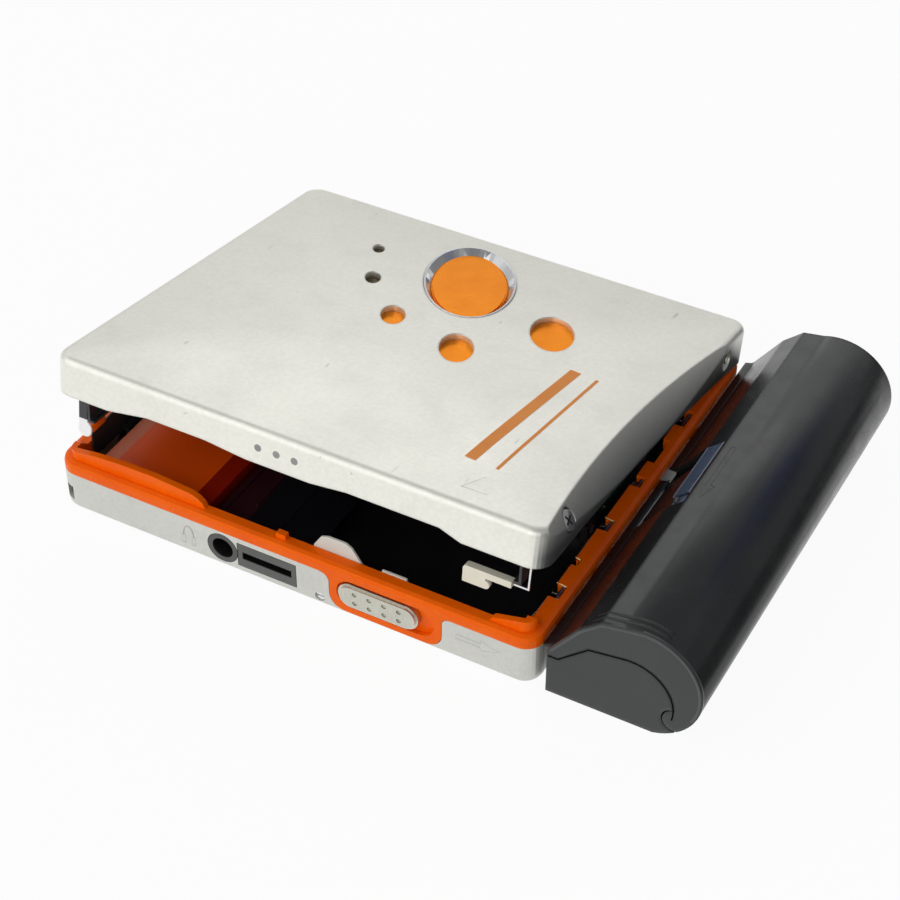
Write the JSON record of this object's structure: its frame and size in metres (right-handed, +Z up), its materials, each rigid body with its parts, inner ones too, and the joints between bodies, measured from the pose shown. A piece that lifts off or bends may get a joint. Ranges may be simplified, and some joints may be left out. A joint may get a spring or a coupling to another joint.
{
  "type": "portable disc player",
  "caption": "Portable minidisc player with a front-opening hinged lid, disc holder, oval windows, orange middle frame, opening slider, side buttons and screw-on battery case.",
  "frame": {"origin": "centre of the player's base face", "axes": "+X to the right towards the battery case, +Y from the front face to the hinge, +Z up out of the lid"},
  "size_m": [0.1072, 0.0758, 0.0276],
  "materials": {
    "case_silver": "satin silver paint",
    "lid_silver": "satin silver paint",
    "frame_orange": "moulded, soft sheen",
    "black_plastic": "moulded black, fine grain",
    "grey_plastic": "moulded dark grey",
    "slate_plastic": "moulded slate blue",
    "steel": "brushed",
    "bright_metal": "bright plated",
    "contact_brass": "plain",
    "amber_window": "tinted, polished",
    "board_green": "solder mask",
    "deck_brown": "dark brown tint",
    "box_rust": "tinted plastic",
    "flex_rust": "film",
    "holder_black": "black paint",
    "white_plastic": "moulded white",
    "cream_plastic": "moulded cream",
    "lens_glass": "coated"
  },
  "bodies": {
    "player": {"lower_case": "case_silver", "mid_frame": "frame_orange", "strap_post": "steel", "front_screw": "steel", "base_screws": "steel", "board_screws": "steel", "main_board": "board_green", "board_components": "black_plastic", "headphone_jack": "black_plastic", "remote_connector": "grey_plastic", "front_shield": "deck_brown", "flex_cable": "flex_rust", "deck_plate": "deck_brown", "spindle_motor": "steel", "guide_rails": "steel", "sled_motor": "steel", "battery_box": "box_rust", "battery_contact": "contact_brass", "door_pin": "steel", "hinge_brackets": "steel", "hinge_pins": "steel", "rim_springs": "steel", "latch_guides": "steel", "rocker_pin": "steel", "switch_strip": "black_plastic", "side_terminals": "contact_brass", "screw_insert": "contact_brass", "case_base": "black_plastic", "case_screw": "steel", "case_pins": "contact_brass", "case_contact": "contact_brass", "case_leaf_spring": "steel", "cover_latch": "slate_plastic"},
    "lid": {"lid_shell": "lid_silver", "window_panel": "amber_window", "window_lens": "amber_window", "window_bezel": "bright_metal", "lid_screws": "steel", "lid_arms": "steel", "front_tab_left": "white_plastic", "front_leg_right": "steel"},
    "holder": {"disc_holder": "holder_black", "shutter_lever": "cream_plastic"},
    "slider": {"open_knob": "bright_metal", "latch_plate": "steel"},
    "spindle": {"turntable": "steel"},
    "screw_drive": {"lead_screw": "steel", "screw_gear": "cream_plastic"},
    "pinion": {"motor_pinion": "contact_brass"},
    "sled": {"pickup_sled": "black_plastic", "pickup_lens": "lens_glass"},
    "door": {"battery_door": "case_silver"},
    "play": {"play_button": "bright_metal"},
    "stop": {"stop_button": "bright_metal"},
    "back": {"back_button": "bright_metal"},
    "forward": {"forward_button": "bright_metal"},
    "rocker": {"volume_rocker": "bright_metal"},
    "hold": {"hold_switch": "bright_metal"},
    "carriage": {"cover_pin": "steel"},
    "cover": {"case_cover": "black_plastic"}
  },
  "joints": [
    {"name": "lid_hinge", "type": "hinge", "parent": "player", "child": "lid", "pos_m": [0, 0.033, 0.007], "axis": [-1, 0, 0], "range_deg": [-9.64, 0], "stiffness_Nm_per_rad": 0.12, "springref_deg": 17.19},
    {"name": "holder_hinge", "type": "hinge", "parent": "player", "child": "holder", "pos_m": [0, 0.033, 0.007], "axis": [-1, 0, 0], "range_deg": [-5.3, 0]},
    {"name": "open_slider", "type": "slide", "parent": "player", "child": "slider", "axis": [1, 0, 0], "range_m": [0, 0.0022], "stiffness_N_per_m": 150, "springref_m": -0.002},
    {"name": "turntable_spin", "type": "hinge", "parent": "player", "child": "spindle", "pos_m": [0, 0, 0.0063], "axis": [0, 0, 1], "continuous": true},
    {"name": "lead_screw_turn", "type": "hinge", "parent": "player", "child": "screw_drive", "pos_m": [0.009, 0.0137, 0.0069], "axis": [1, 0, 0], "range_deg": [0, 1920.01]},
    {"name": "pinion_turn", "type": "hinge", "parent": "player", "child": "pinion", "pos_m": [0.0072, 0.0176, 0.0069], "axis": [1, 0, 0], "range_deg": [-3360.02, 0]},
    {"name": "sled_slide", "type": "slide", "parent": "player", "child": "sled", "axis": [1, 0, 0], "range_m": [0, 0.016]},
    {"name": "play_press", "type": "slide", "parent": "player", "child": "play", "axis": [1, 0, 0], "range_m": [0, 0.0004], "stiffness_N_per_m": 400, "springref_m": -0.0004},
    {"name": "stop_press", "type": "slide", "parent": "player", "child": "stop", "axis": [1, 0, 0], "range_m": [0, 0.0004], "stiffness_N_per_m": 400, "springref_m": -0.0004},
    {"name": "back_press", "type": "slide", "parent": "player", "child": "back", "axis": [1, 0, 0], "range_m": [0, 0.0004], "stiffness_N_per_m": 400, "springref_m": -0.0004},
    {"name": "forward_press", "type": "slide", "parent": "player", "child": "forward", "axis": [1, 0, 0], "range_m": [0, 0.0004], "stiffness_N_per_m": 400, "springref_m": -0.0004},
    {"name": "volume_rock", "type": "hinge", "parent": "player", "child": "rocker", "pos_m": [-0.03885, 0.0191, 0.0043], "axis": [0, 0, 1], "range_deg": [-3, 3], "stiffness_Nm_per_rad": 0.02},
    {"name": "hold_slide", "type": "slide", "parent": "player", "child": "hold", "axis": [1, 0, 0], "range_m": [0, 0.002]},
    {"name": "battery_door_hinge", "type": "hinge", "parent": "player", "child": "door", "pos_m": [-0.03525, 0.03605, 0.0042], "axis": [0, 0, 1], "range_deg": [0, 95]},
    {"name": "cover_slide", "type": "slide", "parent": "player", "child": "carriage", "axis": [0, -1, 0], "range_m": [0, 0.003]},
    {"name": "cover_swing", "type": "hinge", "parent": "carriage", "child": "cover", "pos_m": [0.062, 0.001, 0.00371], "axis": [0, 1, 0], "range_deg": [0, 80]}
  ],
  "couplings": [
    {"joint": "holder_hinge", "follows": "lid_hinge", "ratio": 0.5497},
    {"joint": "lead_screw_turn", "follows": "sled_slide", "rad_per_m": 2094.4},
    {"joint": "pinion_turn", "follows": "sled_slide", "rad_per_m": -3665.2}
  ]
}
